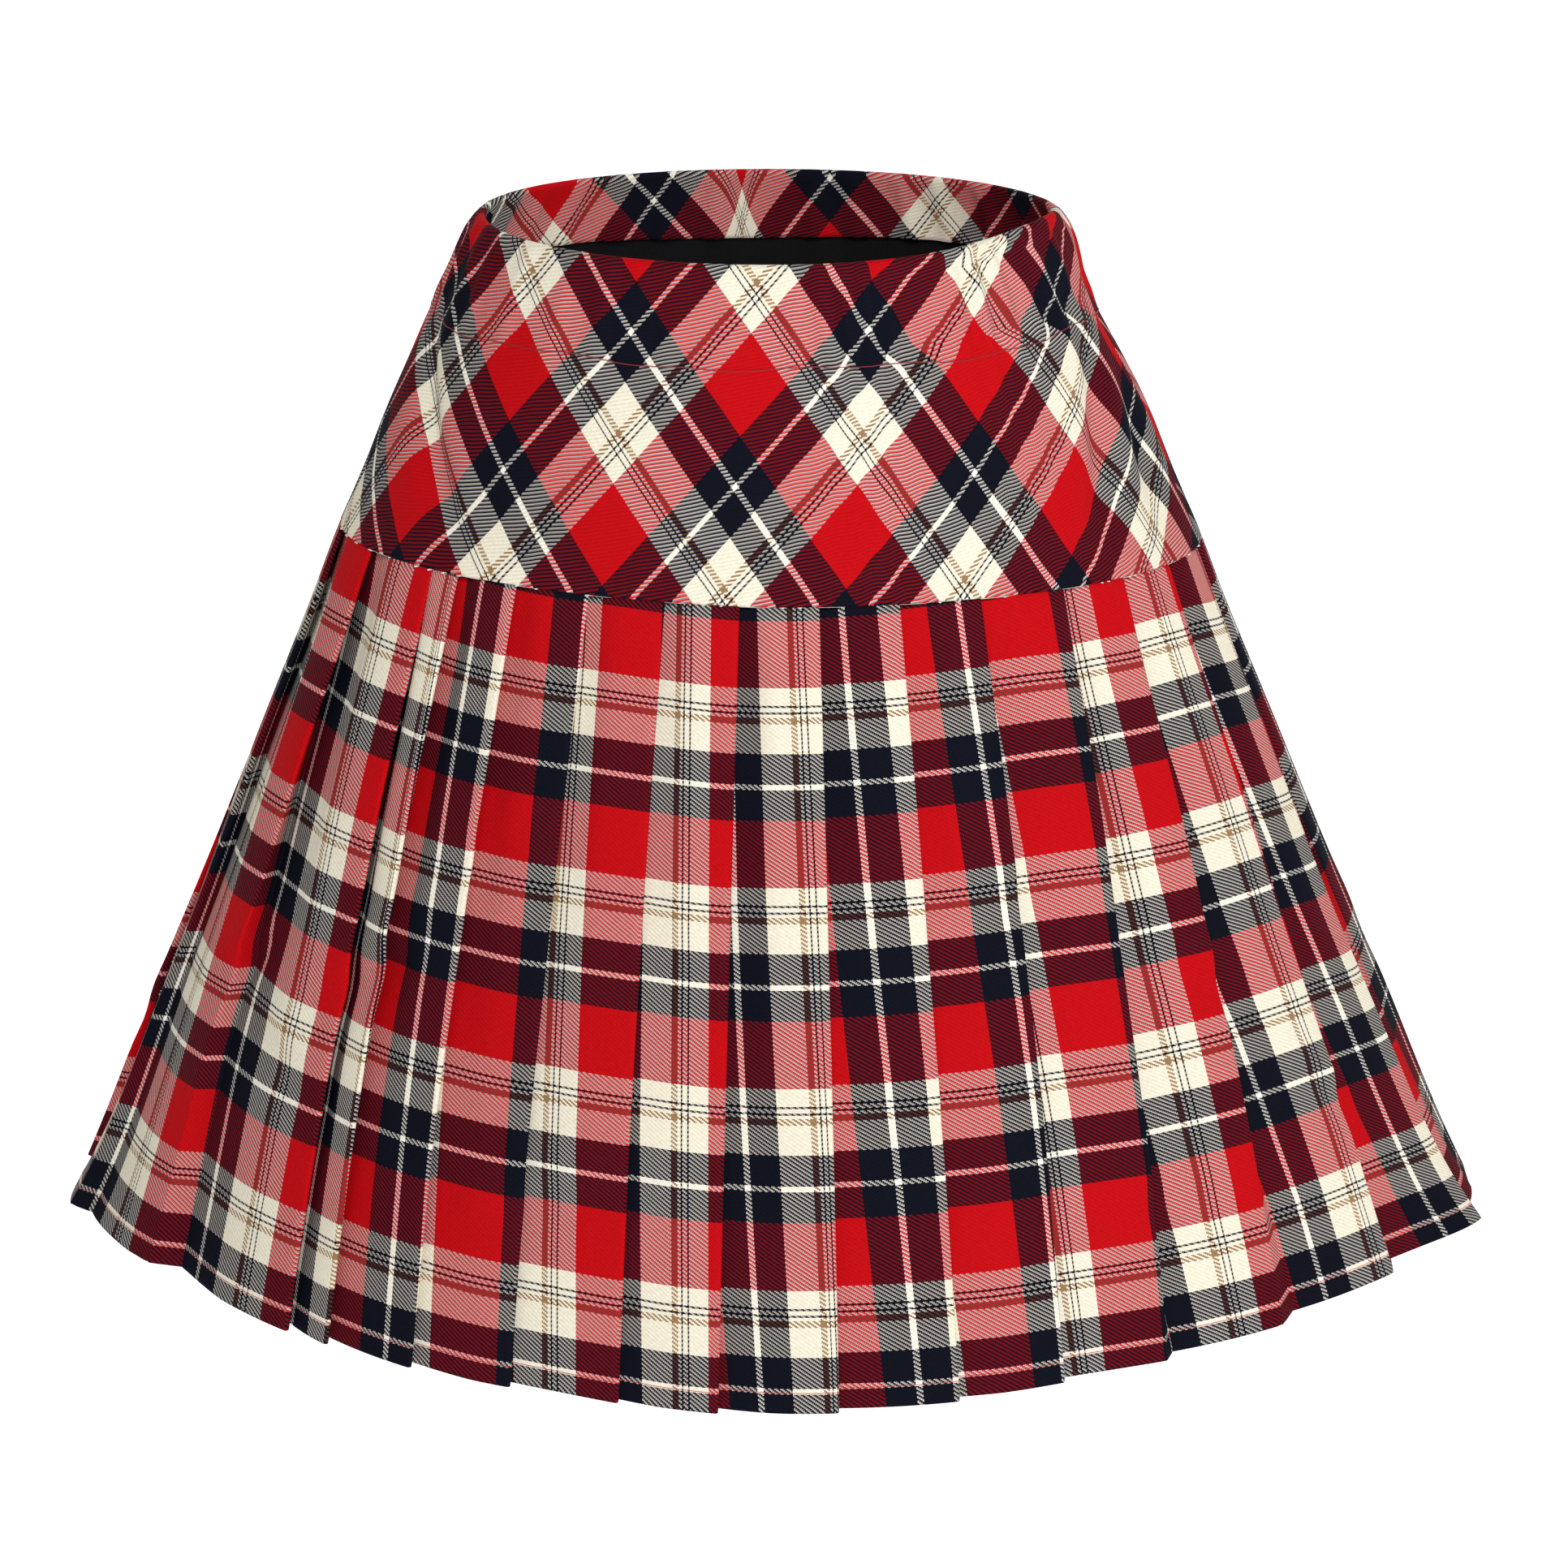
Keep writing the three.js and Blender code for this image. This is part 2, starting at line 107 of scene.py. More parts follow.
def on_body(angle, z, depth):
    """Point at an angle and a level that lies `depth` inside the outer surface: the ellipse of
    that level, moved along its inward normal by the depth and the folds of YOKE_FOLDS, and
    outward at HEM_FLARES; lifted where the waist, seam and hem rise."""
    angle, z, depth = np.broadcast_arrays(*(np.asarray(v, float) for v in (angle, z, depth)))
    turn = np.radians(angle)
    sin, cos = np.sin(turn), np.cos(turn)
    left, right, front = np.maximum(0, -sin), np.maximum(0, sin), (1 + cos) / 2
    above = np.clip(z / SEAM_Z, 0, 1)
    below = np.clip((z - SEAM_Z) / (HEM_Z - SEAM_Z), 0, 1)
    seam = SEAM_LEFT * left * above
    lift = seam + (HEM_LEFT * left**1.4 + HEM_RIGHT * right**1.4 - seam) * below
    rise = np.exp(-(turn_from(angle, WAIST_RISE_AT) / WAIST_RISE_REACH)**2)
    waist = (WAIST_FRONT * front**2 + WAIST_RIGHT * rise) * (1 - above)
    a, b = body_at(np.minimum(z + lift, 0))
    pressed = sum(
        depth_in * np.exp(-(turn_from(angle, middle + slant * (height - z)) / reach)**2
                          - ((z - height) / reach_z)**2)
        for middle, height, slant, reach, reach_z, depth_in in YOKE_FOLDS)
    pressed = (pressed * np.clip((z - SEAM_Z) / SEAM_FADE, 0, 1)
               * np.clip(-z / WAIST_FADE, 0, 1))
    flare = sum(out * np.exp(-(turn_from(angle, corner) / FLARE_REACH)**2)
                for corner, out in HEM_FLARES)
    inward = depth + pressed - flare * below**10
    length = np.hypot(b * sin, a * cos)
    drift = HEM_DRIFT * below**2
    return np.stack([a * sin - inward * b * sin / length + drift,
                     -b * cos + inward * a * cos / length, z + lift + waist], axis=-1)


def sheet_mesh(name, points, cloth, closed=False):
    """Mesh of a grid of points in millimetres, rows down the cloth and columns round it, with
    the cloth coordinates of each point as its UV. `closed` joins the last column to the first."""
    rows, columns = points.shape[:2]
    used = columns - 1 if closed else columns
    index = np.arange(rows * used).reshape(rows, used)
    wrap = np.concatenate([index, index[:, :1]], axis=1) if closed else index
    faces = np.stack([wrap[:-1, :-1], wrap[1:, :-1], wrap[1:, 1:], wrap[:-1, 1:]], axis=-1)
    grid = np.arange(rows * columns).reshape(rows, columns)
    corners = np.stack([grid[:-1, :-1], grid[1:, :-1], grid[1:, 1:], grid[:-1, 1:]], axis=-1)
    mesh = bpy.data.meshes.new(name)
    mesh.from_pydata(points[:, :used].reshape(-1, 3) / 1000, [], faces.reshape(-1, 4).tolist())
    uv = mesh.uv_layers.new(name="cloth")
    uv.data.foreach_set("uv", cloth.reshape(-1, 2)[corners.reshape(-1)].ravel())
    mesh.polygons.foreach_set("use_smooth", np.ones(len(mesh.polygons), bool))
    piece = bpy.data.objects.new(name, mesh)
    bpy.context.scene.collection.objects.link(piece)
    return piece


def thicken(piece, wall):
    """Wall of a cloth piece, half to each side of its points, in millimetres."""
    solid = piece.modifiers.new("wall", "SOLIDIFY")
    solid.thickness = wall / 1000
    solid.offset = 0
    solid.use_even_offset = False


def lengths_along(points, axis):
    """Distance run along the rows or columns of a grid of points, from its first one."""
    steps = np.linalg.norm(np.diff(points, axis=axis), axis=-1)
    first = np.zeros_like(np.take(steps, [0], axis=axis))
    return np.concatenate([first, np.cumsum(steps, axis=axis)], axis=axis)


class Socket:
    """A shader socket with Python's operators: an expression on values adds its Math nodes."""

    def __init__(self, tree, out):
        self.tree, self.out = tree, out

    def node(self, kind, settings=(), **sockets):
        """Any other node: its type, its settings, and values or links by the socket's name, or
        by its number after an i."""
        made = self.tree.nodes.new(kind)
        for key, value in dict(settings).items():
            if key == "stops":
                ramp = made.color_ramp
                while len(ramp.elements) < len(value):
                    ramp.elements.new(1)
                for stop, (at, colour) in zip(ramp.elements, value):
                    stop.position, stop.color = at, (*colour, 1)
            elif key == "interpolation":
                made.color_ramp.interpolation = value
            else:
                setattr(made, key, value)
        for key, value in sockets.items():
            place = int(key[1:]) if key[1:].isdigit() else key.replace("_", " ")
            slot = made.inputs[place]
            if isinstance(value, Socket):
                self.tree.links.new(value.out, slot)
            else:
                slot.default_value = value
        return made

    def take(self, kind, settings=(), out=0, **sockets):
        """One output of such a node."""
        return Socket(self.tree, self.node(kind, settings, **sockets).outputs[out])

    def math(self, operation, *values):
        return self.take("ShaderNodeMath", {"operation": operation},
                         **{f"i{n}": value for n, value in enumerate(values)})

    def __add__(self, other): return self.math("ADD", self, other)
    def __radd__(self, other): return self.math("ADD", other, self)
    def __rsub__(self, other): return self.math("SUBTRACT", other, self)
    def __mul__(self, other): return self.math("MULTIPLY", self, other)
    def __truediv__(self, other): return self.math("DIVIDE", self, other)
    def __lt__(self, other): return self.math("LESS_THAN", self, other)
    def __mod__(self, other): return self.math("FLOORED_MODULO", self, other)
    def floor(self): return self.math("FLOOR", self)
    def sin(self): return self.math("SINE", self)

    def colours(self, kind, share, first, second):
        """Two colours mixed, multiplied or added, by a share."""
        return self.take("ShaderNodeMix", {"data_type": "RGBA", "blend_type": kind}, out=2,
                         i0=share, i6=first, i7=second)

    def blend(self, first, second):
        """Colour between two, by this socket's value."""
        return self.colours("MIX", self, first, second)

    def grey(self):
        """Grey of this socket's value."""
        return self.take("ShaderNodeCombineColor", i0=self, i1=self, i2=self)


def new_material(name):
    """A material with its cloth coordinates, their two axes, and its main shader."""
    material = bpy.data.materials.new(name)
    material.use_nodes = True
    tree = material.node_tree
    shader = tree.nodes["Principled BSDF"]
    start = Socket(tree, None)
    uv = start.take("ShaderNodeUVMap", {"uv_map": "cloth"})
    split = start.node("ShaderNodeSeparateXYZ", i0=uv)
    return material, shader, uv, Socket(tree, split.outputs[0]), Socket(tree, split.outputs[1])


YARNS = {
    # colour where a yarn crosses its own kind and where it crosses another, its marker among red,
    # navy and cream, and how far it keeps each of these three from painted shade where they cross
    # it
    "red": ((0.48, 0.0030, 0.006), (0.62, 0.010, 0.016), (1, 0, 0), (1, 1, 0.74)),
    "navy": ((0.0042, 0.0050, 0.0105), (0.0042, 0.0042, 0.0070), (0, 1, 0), (0.28, 1, 0.70)),
    "cream": ((0.80, 0.745, 0.60), (0.74, 0.68, 0.61), (0, 0, 1), (1, 1, 1)),
    "white": ((0.86, 0.83, 0.75), (0.92, 0.87, 0.80), (0, 0, 1), (1, 1, 1)),
    "tan": ((0.30, 0.18, 0.085), (0.17, 0.060, 0.038), (0.4, 0, 0.6), (0.75, 0.8, 1)),
}
BANDS = [
    # start of each band of the plaid, in repeats, and its yarn
    (0, "red"), (1 / 3, "navy"), (0.485, "white"), (0.515, "navy"), (2 / 3, "cream"),
    (0.82, "tan"), (0.848, "cream"), (0.864, "navy"), (0.877, "cream"), (0.897, "navy"),
    (0.910, "cream"),
]
WARP_YARNS, WEFT_YARNS = 128, 182
WEFT_GLOW = (0.0, 0.001, 0.007, 1)
# How much painted shade darkens a light yarn at the edge of the twill line, and the likeness of
# two yarns' markers from which they count as one kind.
PAINTED_EDGE_SHADE, SAME_KIND = 0.8, 0.45


def plaid_twill(name):
    """Plaid twill: u counts repeats across the warp and v across the weft. A point shows its
    warp yarn where the sum of the two yarn numbers, modulo 4, is under 2, and its weft yarn
    elsewhere, so like colours are solid and unlike ones show the twill line."""
    material, shader, uv, u, v = new_material(name)
    across, up = u * WARP_YARNS, v * WEFT_YARNS
    warp_number, weft_number = across.floor(), up.floor()
    warp_at = ((warp_number + 0.5) / WARP_YARNS) % 1
    weft_at = ((weft_number + 0.5) / WEFT_YARNS) % 1

    def read(place, column):
        stops = [(at, YARNS[yarn][column]) for at, yarn in BANDS]
        return u.take("ShaderNodeValToRGB", {"interpolation": "CONSTANT", "stops": stops},
                      i0=place)

    def dot(first, second):
        return u.take("ShaderNodeVectorMath", {"operation": "DOT_PRODUCT"}, out=1,
                      i0=first, i1=second)

    def noise(scale, detail):
        return u.take("ShaderNodeTexNoise", {"noise_dimensions": "2D"}, i0=uv,
                      Scale=scale, Detail=detail)

    wale = ((across + up) * (math.pi / 2)).sin()
    edge = 1 - u.math("ABSOLUTE", wale)

    def crossed(own, other):
        # Painted shade on light yarns, deepest at the edges of the twill line.
        light = dot(read(own, 2), (0.0, 0.0, PAINTED_EDGE_SHADE))
        # Painted shade between unlike yarns: the other yarn's last column of YARNS keeps only part
        # of this yarn's colour.
        shade = dot(read(own, 2), read(other, 3)) * (1 - light * edge)
        return u.colours("MULTIPLY", 1.0, read(own, 1), shade.grey())

    apart = dot(read(warp_at, 2), read(weft_at, 2)) < SAME_KIND
    on_top = ((warp_number + weft_number) % 4) < 1.5
    warp = apart.blend(read(warp_at, 0), crossed(warp_at, weft_at))
    tinted = u.colours("ADD", 1.0, crossed(weft_at, warp_at), WEFT_GLOW)
    weft = apart.blend(read(weft_at, 0), tinted)
    cloud, fibre = noise(55.0, 3.0), noise(420.0, 2.0)
    # Random tone from cloud and fibre, plus painted shade and light across each twill line from
    # the wale term.
    tone_and_rib_shade = 0.79 + cloud * 0.24 + fibre * 0.16 + wale * 0.07
    shown = u.colours("MULTIPLY", 1.0, on_top.blend(weft, warp), tone_and_rib_shade.grey())
    warp_round = (across % 1 * math.pi).sin()
    weft_round = (up % 1 * math.pi).sin()
    height = (on_top * warp_round + (1 - on_top) * weft_round) * 0.6 + fibre * 0.8 + wale * 0.7
    bump = u.take("ShaderNodeBump", Strength=0.3, Distance=0.0004, Height=height)
    tree = material.node_tree
    tree.links.new(shown.out, shader.inputs["Base Color"])
    tree.links.new(bump.out, shader.inputs["Normal"])
    tree.links.new((0.80 + fibre * 0.14).out, shader.inputs["Roughness"])
    shader.inputs["Specular IOR Level"].default_value = 0.05
    return material


def pucker(angle, z):
    """How far the gathers of the casing stand off its elastic: a soft ridge for each row of
    PUCKERS with a slight trough beside it, full between the waist and the casing stitch and
    dying out as drag lines below it."""
    end = CASING_STITCH - 2
    gathered = np.clip(-z / 6, 0, 1) * np.clip((z - end) / 9, 0, 1)
    drag = np.exp(-((z - end) / 16)**2) * 0.35
    slack = 0
    for middle, width, deep, slant in PUCKERS:
        across = turn_from(angle, middle + slant * (z / CASING_STITCH)) / width
        slack = slack + deep * (np.exp(-across**2) - 0.2 * np.exp(-(across - 1.7)**2))
    return slack * (gathered + drag)


def yoke_grid(start, end):
    """Points of a yoke panel, from the casing's free edge up inside, over the fold at the waist
    and down outside to the seam, where the edge rolls in. The puckers stand off the elastic on
    both its sides, and the free edge rises inside the back by CASING_RISES."""
    inner_rows, outer_rows = 16, 56
    fold_middle = FOLD_WIDTH / 2
    fold_radius = fold_middle - CLOTH / 2
    roll_start, roll_drop, roll_in = SEAM_Z + 1.1, 0.55, 1.0
    casing = np.linspace(-CASING_DEPTH, -fold_middle, inner_rows)
    round_fold = np.linspace(0, math.pi, 9)[1:-1]
    outside = np.linspace(-fold_middle, roll_start, outer_rows)
    roll = np.linspace(0, math.pi / 2, 4)[1:]
    z = np.concatenate([casing, -fold_middle + fold_radius * np.sin(round_fold), outside,
                        roll_start - roll_drop * np.sin(roll)])
    depth = np.concatenate([np.full(inner_rows, FOLD_WIDTH - CLOTH / 2),
                            fold_middle + fold_radius * np.cos(round_fold),
                            np.full(outer_rows, CLOTH / 2),
                            CLOTH / 2 + roll_in * (1 - np.cos(roll))])
    angle = np.linspace(start, end, 240)
    row, depth, angle, z = np.arange(len(z))[:, None], depth[:, None], angle[None, :], z[:, None]
    away = np.where(row < inner_rows + len(round_fold) // 2 + 1, 0.8, -1.0)
    short = sum(rise * np.exp(-(turn_from(angle, middle) / reach)**2)
                for middle, reach, rise in CASING_RISES) / CASING_DEPTH
    z = np.where(row < inner_rows, z - (z + fold_middle) * short, z)
    return on_body(angle, z, depth + away * pucker(angle, z)), angle


# Repeat of the bias plaid down and round the yoke, in millimetres, and its start in repeats.
BIAS_DOWN, BIAS_ROUND, BIAS_START = 116, 93, 0.224
# Plaid of the front: how far its middle lies aside, how much it leans from a level on, and how
# far it hangs down a repeat to the left and to the right.
FRONT_ASIDE, FRONT_LEAN, LEAN_FROM, FRONT_SAG = 10, 0.11, 60, (-4.0, 1.6)
# Plaid of the back: how far it lies down and aside, its sag, and how far it is pushed aside at
# the fold, which dies out over the last number.
BACK_DOWN, BACK_ASIDE, BACK_SAG, BACK_PUSH, PUSH_FADE = 25, 36, 0.1, 10, 60


def yoke_piece(name, start, end, middle):
    """Yoke panel with its bias plaid: y runs down the cloth from the fold and x round it from
    the middle, and the weft and the warp count the repeats along y plus and minus x. The plaid
    hangs a little lower towards both sides, as the panel is cut as an arc."""
    points, angle = yoke_grid(start, end)
    top = int(np.argmax(points[:, points.shape[1] // 2, 2]))
    down = lengths_along(points, 0)
    y = down - down[top]
    round_body = lengths_along(points, 1)
    column = int(np.argmin(np.abs(angle - middle)))
    x = round_body - round_body[:, column:column + 1]
    if middle == 0:
        x = x + FRONT_ASIDE + FRONT_LEAN * (y - LEAN_FROM)
        y = y - np.where(x < 0, *FRONT_SAG) * x / BIAS_ROUND
    else:
        c = -x
        c = c + BACK_PUSH * np.tanh((c + BACK_PUSH) / 5) * np.clip(1 - y / PUSH_FADE, 0, 1)
        y = y - BACK_DOWN - BACK_SAG * c
        x = BACK_ASIDE - c
    u = y / BIAS_DOWN - x / BIAS_ROUND - BIAS_START
    v = y / BIAS_DOWN + x / BIAS_ROUND - BIAS_START
    return sheet_mesh(name, points, np.stack([u, v], axis=-1))


RIGHT_SEAM, LEFT_SEAM, HALF_GAP = 82.75, 264.7, 0.04
plaid = plaid_twill("plaid_cloth")
yoke_front = yoke_piece("yoke_front_cloth", LEFT_SEAM - 360 + HALF_GAP, RIGHT_SEAM - HALF_GAP, 0)
yoke_back = yoke_piece("yoke_back_cloth", RIGHT_SEAM + HALF_GAP, LEFT_SEAM - HALF_GAP, 180)
for piece, node in ((yoke_front, "yoke_front"), (yoke_back, "yoke_back")):
    thicken(piece, CLOTH - 0.1)
    piece.data.materials.append(plaid)
    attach(piece, "root")
    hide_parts(node)

# Waist elastic: one woven band, lapped and sewn into a ring, free inside the casing. It hardly
# shows, so the solid stays and gets its ribbed weave.
RIB_RADIANS_A_METRE = 4200
elastic = bpy.data.materials.new("elastic")
elastic.use_nodes = True
elastic_start = Socket(elastic.node_tree, None)
elastic_at = elastic_start.node("ShaderNodeSeparateXYZ",
                                i0=elastic_start.take("ShaderNodeTexCoord", out=3))
rib = (Socket(elastic.node_tree, elastic_at.outputs[2]) * RIB_RADIANS_A_METRE).sin()
elastic_shader = elastic.node_tree.nodes["Principled BSDF"]
elastic.node_tree.links.new(
    (rib * 0.5 + 0.5).blend((0.62, 0.60, 0.55, 1), (0.78, 0.76, 0.71, 1)).out,
    elastic_shader.inputs["Base Color"])
elastic.node_tree.links.new(
    elastic_start.take("ShaderNodeBump", Strength=0.5, Distance=0.0004, Height=rib).out,
    elastic_shader.inputs["Normal"])
elastic_shader.inputs["Roughness"].default_value = 0.8
bpy.data.objects["waist_elastic"].data.materials.clear()
bpy.data.objects["waist_elastic"].data.materials.append(elastic)

# Lining: a short tube of thin black cloth, gathered into the casing stitch and hanging free
# inside the yoke. Only its upper band shows, under the casing inside the back waist.
LINING_TOP, LINING_BOTTOM, LINING_GATHERS = 27.0, 124.0, 32
WEAVE_RADIANS_A_METRE = 5200


def lining_piece():
    """Rows down the lining; the gathers are two sine waves of unlike pitch whose depth grows
    from nothing at the stitch to a few millimetres at the free edge."""
    below = np.linspace(LINING_TOP, LINING_BOTTOM, 30)[:, None]
    angle = np.linspace(0, 360, 721)[None, :]
    turn = np.radians(angle)
    free = np.clip((below - CASING_DEPTH + 2) / 30, 0, 1)
    wave = (np.sin(LINING_GATHERS * turn + 0.8 * np.sin(5 * turn) + 0.006 * below)
            + 0.5 * np.sin(51 * turn + 1.3 * np.sin(3 * turn)))
    depth = CLOTH + LAYER_GAP + LINING_WALL / 2 + free * (3.4 + 1.3 * wave)
    points = on_body(angle, -below, depth)
    cloth = np.stack([lengths_along(points, 1), -lengths_along(points, 0)], axis=-1)
    return sheet_mesh("lining_cloth", points, cloth / 1000, closed=True)


lining = lining_piece()
thicken(lining, 0.6)
black, black_shader, black_uv, black_u, black_v = new_material("lining_cloth")
black_grain = black_u.take("ShaderNodeTexNoise", {"noise_dimensions": "2D"}, i0=black_uv,
                           Scale=900.0, Detail=2.0)
black_line = ((black_u * WEAVE_RADIANS_A_METRE).sin()
              * (black_v * WEAVE_RADIANS_A_METRE).sin())
black.node_tree.links.new(
    black_grain.blend((0.0018, 0.0018, 0.0024, 1), (0.0045, 0.0045, 0.0056, 1)).out,
    black_shader.inputs["Base Color"])
black.node_tree.links.new(
    black_u.take("ShaderNodeBump", Strength=0.3, Distance=0.0003,
                 Height=black_line + black_grain).out, black_shader.inputs["Normal"])
black_shader.inputs["Roughness"].default_value = 0.7
black_shader.inputs["Specular IOR Level"].default_value = 0.1
lining.data.materials.append(black)
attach(lining, "root")
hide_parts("lining")

# Pleated panels, front and back: straight-grain plaid twill, pressed into 15 knife pleats each
# that are caught in the hip seam and swing open towards the hem, which is turned up once and
# stitched. Every ridge lies to the right on the front and covers the start of the next face.
PLEATS = np.array([
    # ridge angle at the seam and at the hem, depth of its valley at the hem and how much deeper
    # it gapes part way down, in millimetres, and the part of the plaid's repeat that lies at the
    # ridge, at the seam and at the hem
    (-84, -78, 6, 3, 108, 85), (-66, -60.5, 7, 5, 63, 40), (-49.4, -41, 8, 9, 23, 37),
    (-44.5, -36.8, 7, 4, 225, 202), (-34.4, -28.8, 6, 2, 181, 158),
    (-23.6, -20.4, 5.5, 2, 120, 97), (-13.3, -11.8, 5, 2, 82, 52), (-3.7, -4.2, 5, 4, 33, 10),
    (6.4, 4.8, 5, 2, 243, 218), (16.8, 14, 5, 2, 190, 168), (28, 22.6, 5, 2, 154, 121),
    (41, 31.6, 6, 4, 102, 85), (52.8, 43.5, 6.5, 3, 60, 31), (65, 58.8, 8, 3, 12, -8),
    (79, 75.3, 7, 3, -33, -55),
], float)
PLEAT_CREASES = np.array([
    # angle, height, slope, reach along and across in millimetres, depth
    (-41, -284, 0.55, 26, 11, 2.6), (-50, -330, -0.35, 22, 9, 1.6), (-62, -300, 0.8, 20, 10, 1.8),
    (-30, -232, 0.25, 20, 8, 1.2), (-18, -352, 0.3, 30, 10, 1.4), (-8, -262, -0.2, 24, 9, 1.0),
    (2, -196, 0.35, 18, 7, 1.0), (11, -318, -0.3, 28, 10, 1.3), (25, -246, 0.3, 26, 9, 1.2),
    (34, -366, -0.25, 24, 9, 1.6), (47, -290, -0.5, 24, 10, 1.8), (60, -350, -0.6, 22, 9, 1.8),
    (98, -300, 0.4, 28, 11, 2.0), (122, -244, -0.3, 26, 9, 1.5), (141, -338, 0.35, 30, 10, 1.8),
    (160, -280, -0.2, 26, 10, 1.3), (183, -352, 0.3, 30, 10, 1.5), (203, -262, 0.25, 26, 9, 1.3),
    (224, -320, -0.4, 26, 10, 1.8), (247, -286, 0.5, 24, 10, 2.0), (262, -352, -0.3, 22, 9, 1.5),
])
BACK_PLEATS, BACK_DEPTH, BACK_GAPE = 15, 8.0, 2.0
# The plaid's repeat in millimetres, and the parts that it is counted in: how many a ridge lies
# behind the one before, and how many lie at the hem edge.
REPEAT, PARTS, PARTS_BACK, HEM_PARTS = 75.8, 246, 45, 98
# Cloth folded under a pleat at the seam, and the most of the way back to the ridge before that
# it takes; cloth from a valley to the next ridge at the hem; share of the way down at which the
# valleys gape most; shares of a repeat that lie under a pleat at the seam and at the hem.
UNDERLAY, UNDERLAY_SHARE, FACE_AT_HEM, GAPE_SHARE = 15.6, 0.65, 50.0, 0.3
UNDER_REPEAT = (0.2065, 0.17)
# Tilt in radians of the folded layers, full from an eighth of the way down; how far a valley may
# lie from its ridge at the hem, left and right; share of the next face at which a pressed face
# comes out, and over which; how much a loose face bulges; and the point at the valley's bottom.
LAYER_TILT, TILT_IN, VALLEY_REACH = 0.33, 8, (-13, 11)
PRESS_FROM, PRESS_OVER, LOOSE_BULGE, VALLEY_POINT = 0.37, 0.26, 0.35, 11
# Cloth from the seam up to each row of the seam allowance, and from the hem edge to each row of
# the turned hem.
ALLOWANCE_ROWS, TURN_ROWS = (6.5, 0.8), (0.4, 3.0, 6.0, 9.0)


def mix(first, second, part):
    """Value that lies a part of the way from the first to the second."""
    return first + (second - first) * part


def arc_per_degree(angle, z):
    """Girth that one degree of the body's angle covers at a level."""
    a, b = body_at(np.asarray(z, float))
    return np.hypot(a * np.cos(np.radians(angle)), b * np.sin(np.radians(angle))) * math.pi / 180


def all_ridges():
    """Front ridges from the table, and the back ones spread evenly over the girth left. Each
    ridge's place in the plaid is then moved by whole repeats, to lie about PARTS_BACK short of
    one repeat past the ridge before it."""
    first, last = PLEATS[0], PLEATS[-1]
    columns = []
    for column, z in ((0, SEAM_Z), (1, HEM_Z)):
        fine = np.linspace(last[column], first[column] + 360, 4001)
        run = np.concatenate([[0], np.cumsum(arc_per_degree((fine[1:] + fine[:-1]) / 2, z))])
        columns.append(np.interp(np.arange(1, BACK_PLEATS + 1) / (BACK_PLEATS + 1) * run[-1],
                                 run, fine))
    step = np.arange(1, BACK_PLEATS + 1)
    back = np.stack([*columns, np.full(BACK_PLEATS, BACK_DEPTH), np.full(BACK_PLEATS, BACK_GAPE),
                     last[4] - PARTS_BACK * step, last[5] - PARTS_BACK * step], axis=-1)
    table = np.concatenate([PLEATS, back])
    number = np.arange(len(table))
    for column in (4, 5):
        rough = (table[:, column] + PARTS_BACK * number - table[0, column]) / PARTS
        table[:, column] += PARTS * (number - np.round(rough))
    return table


